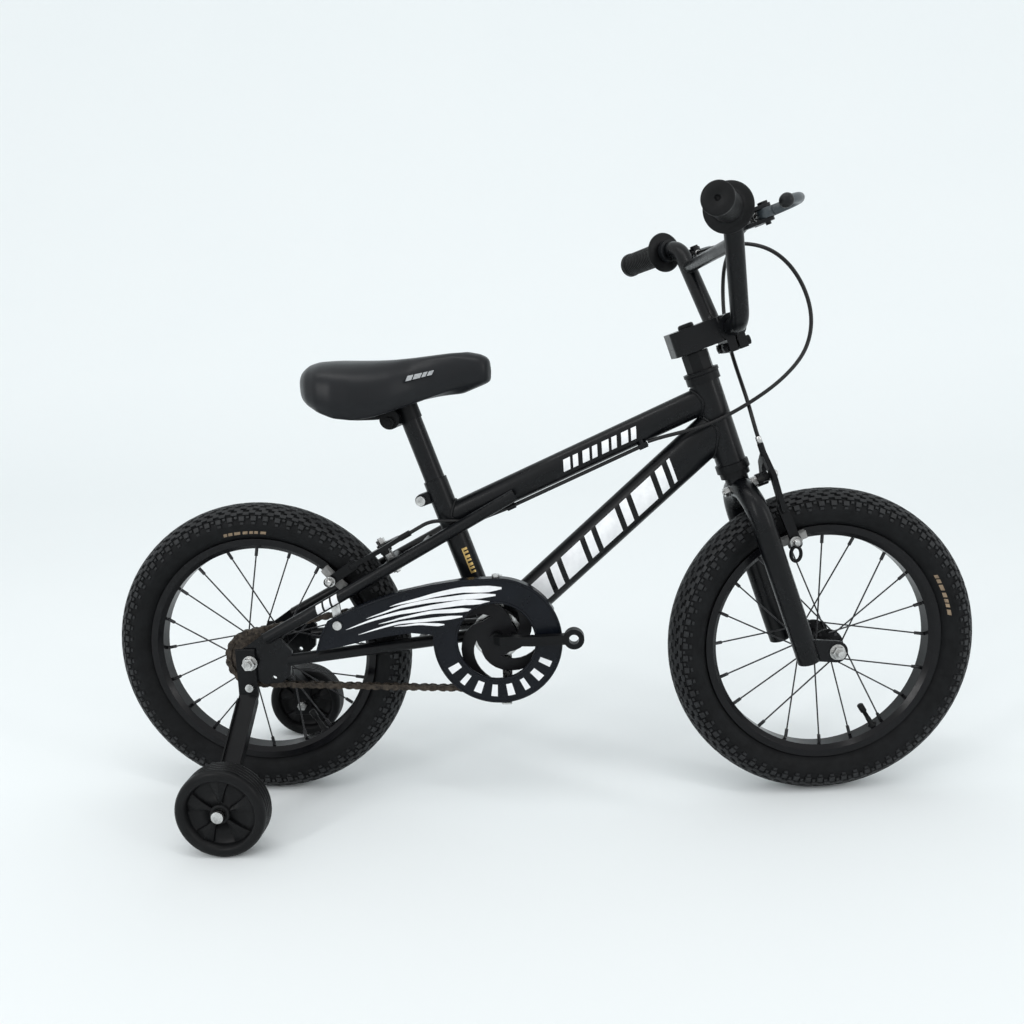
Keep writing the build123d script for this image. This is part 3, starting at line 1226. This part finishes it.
def rear_brake_cable():
    """The part of the rear cable that is clipped to the frame, and its wire at the brake."""
    top, bottom = caliper_wire(REAR_STANDOFF)
    ends = [(REAR_CALIPER * Pos(point.X, -point.Y, point.Z)).position for point in (top, bottom)]
    points = [under_top_tube(CLIPS_AHEAD[0] + 7 - 2 * CABLE_CLEAR), under_top_tube(CLIPS_AHEAD[1] - 8)]
    points += [at(*point) for point in REAR_CABLE_RUN] + [ends[0]]
    return [bent_bar(points, CABLE_BEND, CABLE_RADIUS) + rod(ends[0], ends[1], WIRE_RADIUS)]


def cable_clips():
    """Guides welded under the top tube."""
    way = top_tube_way()
    up = Vector(-way.Z, 0, way.X)
    tube = oval_bar(
        on_seat_tube(TOP_TUBE_ON_SEAT_TUBE), on_head(HEAD_TOP - TOP_TUBE_BELOW_HEAD_TOP), TOP_TUBE_SIZE
    )
    clips = []
    for ahead in CLIPS_AHEAD:
        middle = under_top_tube(ahead)
        half = way * (CLIP_LENGTH / 2)
        clip = rod(middle - half, middle + half, CLIP_RADIUS) + rod(middle, middle + up * 12, 3)
        clips.append(clip - tube - rod(middle - way * 20, middle + way * 20, CABLE_RADIUS))
    return clips


# ---------------------------------------------------------------- seat
CLAMP_BARREL_RADIUS = 13.0
CLAMP_BARREL = (198.0, 313.0)
CLAMP_BARREL_HALF = 26.0
CLAMP_BOLT_REACH = 34.0
COLLAR_RADIUS = 15.0
RAIL_LEVEL = 316.0
SHELL_TOP = 347.0
SHELL_PLATE = 4.0
RAIL_POINTS = [(262, 344.5), (244, RAIL_LEVEL), (140, RAIL_LEVEL), (120, 344.5)]


def seat_post():
    """Tube in the frame with a narrower neck for the clamp."""
    thick = rod(on_seat_tube(POST_FOOT), on_seat_tube(POST_NECK), POST_RADIUS)
    neck = rod(on_seat_tube(POST_NECK), on_seat_tube(POST_TOP), POST_NECK_RADIUS)
    bore = rod(on_seat_tube(POST_FOOT), on_seat_tube(POST_TOP), POST_NECK_RADIUS - 2)
    return [thick + neck - bore]


def rail(side, radius):
    """One seat rail, bent down to run level through the clamp."""
    points = [at(x, side * RAIL_HALF, z) for x, z in RAIL_POINTS]
    return bent_bar(points, 12, radius)


def saddle_clamp():
    """Collar on the post's neck with a cross barrel that grips the rails, and its through bolt."""
    collar = pipe(on_seat_tube(POST_NECK), on_seat_tube(POST_TOP - 2), COLLAR_RADIUS, POST_NECK_RADIUS)
    centre = at(CLAMP_BARREL[0], 0, CLAMP_BARREL[1])
    half = CLAMP_BARREL_HALF
    barrel = disc(centre.X, centre.Z, CLAMP_BARREL_RADIUS, -half, half)
    barrel -= rod(on_seat_tube(POST_NECK - 40), on_seat_tube(POST_TOP + 20), POST_NECK_RADIUS)
    body = collar + barrel
    for side in (-1, 1):
        body -= rail(side, RAIL_RADIUS)
    bolt = disc(centre.X, centre.Z - 4, 3.5, -CLAMP_BOLT_REACH, CLAMP_BOLT_REACH)
    pieces = [body - bolt, bolt]
    for low, high in ((-half - 6, -half), (half, half + 6)):
        pieces.append(hexagon(centre.X, centre.Z - 4, 13, low, high) - bolt)
    return pieces


def cavity_outline(inset):
    """Outline of the space under the saddle, seen from above."""
    stations = SADDLE_STATIONS[1:-1]
    half = [(at(x, 0, 0).X, wide - inset) for x, wide, _, _ in stations]
    points = half + [(x, -wide) for x, wide in half[::-1]]
    return make_face(Polyline(*points, close=True))


def saddle_cover():
    """Padded top, lofted from nose to tail and hollow below."""
    sections = []
    for ahead, half, low, high in SADDLE_STATIONS:
        centre = at(ahead, 0, (low + high) / 2)
        plane = Plane(origin=centre, x_dir=(0, 1, 0), z_dir=(1, 0, 0))
        sections.append(plane * Ellipse(half, (high - low) / 2))
    cover = loft(sections)
    roof = TYRE_RADIUS + SHELL_TOP
    return [cover - level_plate(cavity_outline(SADDLE_WALL), TYRE_RADIUS + 290, roof)]


def saddle_shell():
    """Base plate under the padding, drilled for the rails."""
    roof = TYRE_RADIUS + SHELL_TOP
    plate = level_plate(cavity_outline(SADDLE_WALL + RUNNING), roof - SHELL_PLATE, roof)
    return [plate - rail(-1, RAIL_RADIUS) - rail(1, RAIL_RADIUS)]


# ---------------------------------------------------------------- chain guard
GUARD_TOP = [(330, 110), (288, 108.5), (247, 102.5), (204, 93.5), (167, 81.6), (129, 67)]
GUARD_REAR = [(108, 56), (97, 36), (90, 15)]
GUARD_BOTTOM = [(124, 21), (157, 29), (189, 35), (218, 38.5), (243, 36)]
GUARD_CENTRE = 3.0
GUARD_FOLD_AHEAD = 134.0
GUARD_HOLE_AHEAD = 1.5
GUARD_SCREW = (121.5, 50.5)
TAB_LINE = 57.0
TAB_SHEET = 3.0
BRACKET_SHEET = 2.0
BRACKET_BAND = 33.0
BRACKET_ARM = 13.0
RIM_SCREW_LINE = 56.0


def guard_outline():
    """The round front with its hole and the tail that covers the chain's upper run."""
    points = [(at(x, 0, z).X, at(x, 0, z).Z) for x, z in GUARD_TOP + GUARD_REAR + GUARD_BOTTOM]
    points.append((BRACKET.X, BRACKET.Z))
    tail = make_face(Polyline(*points, close=True))
    return tail + Pos(BRACKET.X + GUARD_CENTRE, BRACKET.Z) * Circle(GUARD_RADIUS)


def chain_guard():
    """Sheet plate with a folded edge along the top."""
    outline = guard_outline()
    hole = Pos(BRACKET.X + GUARD_HOLE_AHEAD, BRACKET.Z) * Circle(GUARD_HOLE)
    plate = side_plate(outline - hole, -GUARD_LINE, -GUARD_LINE + GUARD_SHEET)
    edge = outline - offset(outline, -GUARD_SHEET)
    tail = at(GUARD_FOLD_AHEAD, 0, GUARD_TOP[-1][1] - 6)
    keep = [
        (tail.X, tail.Z),
        (BRACKET.X, BRACKET.Z + 40),
        (BRACKET.X + 2 * GUARD_RADIUS, BRACKET.Z + 40),
        (BRACKET.X + 2 * GUARD_RADIUS, BRACKET.Z + 2 * GUARD_RADIUS),
        (tail.X, BRACKET.Z + 2 * GUARD_RADIUS),
    ]
    edge = edge & make_face(Polyline(*keep, close=True))
    fold = side_plate(edge, -GUARD_LINE, -GUARD_LINE + GUARD_RIM)
    screw = at(GUARD_SCREW[0], 0, GUARD_SCREW[1])
    guard = plate + fold - disc(screw.X, screw.Z, 2.5, -GUARD_LINE, -GUARD_LINE + GUARD_SHEET)
    rim_hole = rod(
        (BRACKET.X + GUARD_CENTRE, -RIM_SCREW_LINE, BRACKET.Z + GUARD_RADIUS - 10),
        (BRACKET.X + GUARD_CENTRE, -RIM_SCREW_LINE, BRACKET.Z + GUARD_RADIUS + 5),
        2.5,
    )
    return [guard - rim_hole]


def chain_guard_brackets():
    """Band on the bottom-bracket cup with two bent arms, and the tab on the right seat stay."""
    half = SHELL_WIDTH / 2
    top = GUARD_RADIUS - GUARD_SHEET - 0.5
    x = BRACKET.X + GUARD_CENTRE
    outline = Pos(BRACKET.X, BRACKET.Z) * Circle(BRACKET_BAND)
    outline += thick_path([(x, BRACKET.Z + 20), (x, BRACKET.Z + top - BRACKET_ARM / 2)], BRACKET_ARM)
    outline += Pos(x, BRACKET.Z + top - BRACKET_ARM / 2) * Rectangle(BRACKET_ARM, BRACKET_ARM)
    low_x, low_reach = BRACKET.X + 12, GUARD_RADIUS + 0.3
    outline += Pos(low_x, BRACKET.Z - (low_reach + BRACKET_SHEET + 20) / 2) * Rectangle(
        BRACKET_ARM, low_reach + BRACKET_SHEET - 20
    )
    outline -= Pos(BRACKET.X, BRACKET.Z) * Circle(SHELL_BORE + 1.8)
    band = side_plate(outline, -half - BRACKET_SHEET, -half)
    reach = GUARD_LINE - GUARD_SHEET - half
    level = BRACKET.Z + top - BRACKET_SHEET / 2
    shelf = Pos(x, -half - reach / 2, level) * Box(BRACKET_ARM, reach, BRACKET_SHEET)
    shelf -= rod((x, -RIM_SCREW_LINE, BRACKET.Z + top - 5), (x, -RIM_SCREW_LINE, BRACKET.Z + top + 5), 2.5)
    low_shelf = Pos(low_x, -half - (GUARD_LINE - half) / 2, BRACKET.Z - low_reach - BRACKET_SHEET / 2) * Box(
        BRACKET_ARM, GUARD_LINE - half, BRACKET_SHEET
    )
    screw = at(GUARD_SCREW[0], 0, GUARD_SCREW[1])
    stay = on_stay(142, -1)
    tab = side_plate(thick_path([(screw.X, screw.Z), (stay.X, stay.Z)], 12), -TAB_LINE, -TAB_LINE + TAB_SHEET)
    boss = disc(screw.X, screw.Z, 5, -GUARD_LINE + GUARD_SHEET, -TAB_LINE)
    bore = disc(screw.X, screw.Z, 2.5, -GUARD_LINE, -TAB_LINE + TAB_SHEET)
    return [band + shelf + low_shelf, tab + boss - bore - stay_solid(-1, False)]


def chain_guard_screws():
    """Rear screw into the tab, and the upright one through the guard's folded edge."""
    screw = at(GUARD_SCREW[0], 0, GUARD_SCREW[1])
    rear = disc(screw.X, screw.Z, 2.5, -GUARD_LINE, -TAB_LINE + TAB_SHEET + 3)
    rear += disc(screw.X, screw.Z, 6, -GUARD_LINE - 3, -GUARD_LINE)
    x, top = BRACKET.X + GUARD_CENTRE, BRACKET.Z + GUARD_RADIUS
    upper = rod((x, -RIM_SCREW_LINE, top - 6.5), (x, -RIM_SCREW_LINE, top + 3), 2.5)
    upper += rod((x, -RIM_SCREW_LINE, top + 0.1), (x, -RIM_SCREW_LINE, top + 3.1), 5)
    return [rear, upper]


# ---------------------------------------------------------------- stabilizers
STABILIZER_AHEAD = -6.0
ARM_FACE = DROPOUT_GAP / 2 + DROPOUT_PLATE
ARM_FOOT_HALF = 151.0
ARM_TOP = 17.0
ARM_KNEE = -45.0
ARM_FOOT_KNEE = -117.0
ARM_FOOT = -163.0
ARM_FLANGE = 12.0
STABILIZER_BOLT = 4.0


def stabilizer_arm(side):
    """Bent steel strip hung on the axle, with stiffening flanges on its sloping part."""
    line = ARM_FACE + STABILIZER_SHEET / 2
    knees = [(line, ARM_TOP), (line, ARM_KNEE), (ARM_FOOT_HALF, ARM_FOOT_KNEE), (ARM_FOOT_HALF, ARM_FOOT)]
    path = [(side * y, TYRE_RADIUS + z) for y, z in knees]
    low = at(STABILIZER_AHEAD, 0, 0).X - STABILIZER_ARM / 2
    high = low + STABILIZER_ARM
    arm = front_plate(thick_path(path, STABILIZER_SHEET), low, high)
    (y0, z0), (y1, z1) = path[1], path[2]
    inner = [(y0 + (y1 - y0) * share, z0 + (z1 - z0) * share) for share in (0.1, 0.9)]
    for x0, x1 in ((low, low + 2), (high - 2, high)):
        arm += front_plate(thick_path(inner, ARM_FLANGE), x0, x1)
    axle, foot = at(0, 0, 0), at(STABILIZER_AHEAD, 0, 0)
    arm -= disc(axle.X, axle.Z, AXLE_RADIUS, *sorted((side * (ARM_FACE - 5), side * (ARM_FACE + 10))))
    return [arm - disc(foot.X, STABILIZER_RADIUS, STABILIZER_BOLT, *sorted((side * 140, side * 160)))]


def stabilizer_bolts():
    """Each side: the wheel's bolt with its nut and spacer, and the short bolt below the axle."""
    pieces = []
    x, z = at(STABILIZER_AHEAD, 0, 0).X, STABILIZER_RADIUS
    near = ARM_FOOT_HALF - STABILIZER_SHEET / 2
    far = ARM_FOOT_HALF + STABILIZER_SHEET / 2
    wheel_near = STABILIZER_TRACK - STABILIZER_WIDTH / 2
    wheel_far = STABILIZER_TRACK + STABILIZER_WIDTH / 2
    short = at(-3, 0, -34)
    for side in (-1, 1):
        def span(start, end):
            return sorted((side * start, side * end))

        bolt = disc(x, z, STABILIZER_BOLT, *span(near - 8, wheel_far + 2))
        bolt += disc(x, z, 7.5, *span(wheel_far + SIDE_PLAY, wheel_far + 5))
        pieces.append(bolt)
        pieces.append(hexagon(x, z, 13, *span(near - 6.5, near)) - bolt)
        pieces.append(ring(x, z, 8, STABILIZER_BOLT, *span(far, wheel_near - SIDE_PLAY)))
        outer = ARM_FACE + STABILIZER_SHEET
        pieces.append(disc(short.X, short.Z, 5.5, *span(outer, outer + 4)))
    return pieces


WINDOWS = 5
WINDOW_SPAN = 52.0
WEB_HALF = 4.0
WHEEL_HUB_RADIUS = 13.0
WHEEL_RIM_RADIUS = 42.0


def stabilizer_wheel(side):
    """Moulded wheel: hub, thin web with five windows, and a thick tread."""
    half = STABILIZER_WIDTH / 2
    outer = STABILIZER_RADIUS
    profile = [
        (STABILIZER_BOLT + RUNNING, half),
        (WHEEL_HUB_RADIUS, half),
        (WHEEL_HUB_RADIUS, WEB_HALF),
        (WHEEL_RIM_RADIUS, WEB_HALF),
        (WHEEL_RIM_RADIUS, half - 2),
        (WHEEL_RIM_RADIUS + 3, half),
        (outer - 5, half),
        (outer, half - 5),
    ]
    points = profile + [(x, -y) for x, y in profile[::-1]]
    wheel = revolve(make_face(Polyline(*points, close=True)), axis=Axis.Y)
    for index in range(WINDOWS):
        corners = []
        for radius, spread in ((WHEEL_HUB_RADIUS + 3, 0.7), (WHEEL_RIM_RADIUS - 1, 1.0)):
            for way in (-1, 1):
                point = polar(radius, index * 360 / WINDOWS + way * spread * WINDOW_SPAN / 2)
                corners.append((point.X, point.Z))
        ordered = [corners[0], corners[1], corners[3], corners[2]]
        window = make_face(Polyline(*ordered, close=True))
        wheel -= side_plate(window, -WEB_HALF - 1, WEB_HALF + 1)
    centre = at(STABILIZER_AHEAD, 0, 0)
    return [Pos(centre.X, side * STABILIZER_TRACK, STABILIZER_RADIUS) * wheel]


# ---------------------------------------------------------------- assembly
FRONT_WHEEL = STEERED * Pos(FORK_OFFSET, 0, -AXLE_DROP) * Rot(0, HEAD_LEAN, 0)
REAR_WHEEL = Pos(*at(0, 0, 0))


def placed(place, pieces):
    """Pieces put in their place on the bike."""
    return [place * piece for piece in pieces]


def caliper_nodes():
    """Arms and pads of both brakes, named for the bike's right and left."""
    nodes = {}
    front = (FRONT_STANDOFF, FRONT_REACH, FRONT_PAD_AHEAD)
    rear = (REAR_STANDOFF, REAR_REACH, REAR_PAD_AHEAD)
    for near, name in ((True, "right"), (False, "left")):
        nodes[f"front_caliper_arm_{name}"] = front_brake(caliper_arm(near, *front))
        nodes[f"front_brake_pad_{name}"] = front_brake(brake_pad(near, front[1], front[2], 0))
        nodes[f"rear_caliper_arm_{name}"] = rear_brake(caliper_arm(near, *rear))
        nodes[f"rear_brake_pad_{name}"] = rear_brake(brake_pad(near, rear[1], rear[2], REAR_PAD_TURN))
    return nodes


def side_nodes():
    """Nodes that come in a right and a left."""
    nodes = {}
    for side, name in ((-1, "right"), (1, "left")):
        nodes[f"grip_{name}"] = placed(STEERED, grip(side))
        nodes[f"lever_bracket_{name}"] = placed(STEERED, lever_bracket(side))
        nodes[f"brake_lever_{name}"] = placed(STEERED, brake_lever(side))
        nodes[f"stabilizer_arm_{name}"] = stabilizer_arm(side)
        nodes[f"stabilizer_wheel_{name}"] = stabilizer_wheel(side)
    return nodes


def all_nodes():
    """Every node of the bike with its solids."""
    front_face = FORK_PLATE_NEAR + FORK_PLATE
    rear_face = ARM_FACE + STABILIZER_SHEET
    nodes = {
        "front_triangle": frame_tubes(),
        "rear_triangle": rear_triangle(),
        "seat_clamp_bolt": seat_clamp_bolt(),
        "headset_cups": headset_cups(),
        "bottom_bracket_cups": bottom_bracket_cups(),
        "rear_axle": placed(REAR_WHEEL, rear_axle()),
        "rear_axle_nuts": placed(REAR_WHEEL, nut_set(-1, rear_face) + nut_set(1, rear_face)),
        "chain_guard": chain_guard(),
        "chain_guard_brackets": chain_guard_brackets(),
        "chain_guard_screws": chain_guard_screws(),
        "chain": chain(),
        "rear_brake_pivot_bolt": rear_brake(pivot_bolt(BRIDGE_RADIUS, REAR_STANDOFF)),
        "rear_brake_cable": rear_brake_cable(),
        "cable_clips": cable_clips(),
        "stabilizer_axle_bolts": stabilizer_bolts(),
        "seat_post": seat_post(),
        "saddle_clamp": saddle_clamp(),
        "saddle_rails": [rail(-1, RAIL_RADIUS), rail(1, RAIL_RADIUS)],
        "saddle_shell": saddle_shell(),
        "saddle_cover": saddle_cover(),
        "fork": placed(STEERED, fork()),
        "headset_races": placed(STEERED, headset_races()),
        "stem": placed(STEERED, stem()),
        "stem_bolts": placed(STEERED, stem_bolts()),
        "handlebar": placed(STEERED, handlebar()),
        "front_axle": placed(FRONT_WHEEL, front_axle()),
        "front_axle_nuts": placed(FRONT_WHEEL, nut_set(-1, front_face) + nut_set(1, front_face)),
        "front_brake_pivot_bolt": front_brake(pivot_bolt(FORK_RADIUS, FRONT_STANDOFF)),
        "front_brake_cable": placed(STEERED, front_brake_cable()),
        "rear_brake_cable_loop": rear_brake_cable_loop(),
        "front_hub": placed(FRONT_WHEEL, [front_hub()]),
        "front_spokes": placed(FRONT_WHEEL, spokes(FRONT_FLANGE, FRONT_FLANGE)),
        "front_rim": placed(FRONT_WHEEL, [rim()]),
        "front_tyre": placed(FRONT_WHEEL, tyre()),
        "rear_hub": placed(REAR_WHEEL, [rear_hub()]),
        "rear_spokes": placed(REAR_WHEEL, spokes(REAR_LEFT_FLANGE, REAR_RIGHT_FLANGE)),
        "rear_rim": placed(REAR_WHEEL, [rim()]),
        "rear_tyre": placed(REAR_WHEEL, tyre()),
        "rear_sprocket": [rear_sprocket()],
        "crank": crank(),
        "chainring": [chainring()],
    }
    nodes.update(side_nodes())
    nodes.update(caliper_nodes())
    return nodes


os.makedirs("parts", exist_ok=True)
for name, pieces in all_nodes().items():
    solids = [solid for piece in pieces for solid in piece.solids()]
    export_step(Compound(children=solids), f"parts/{name}.step")
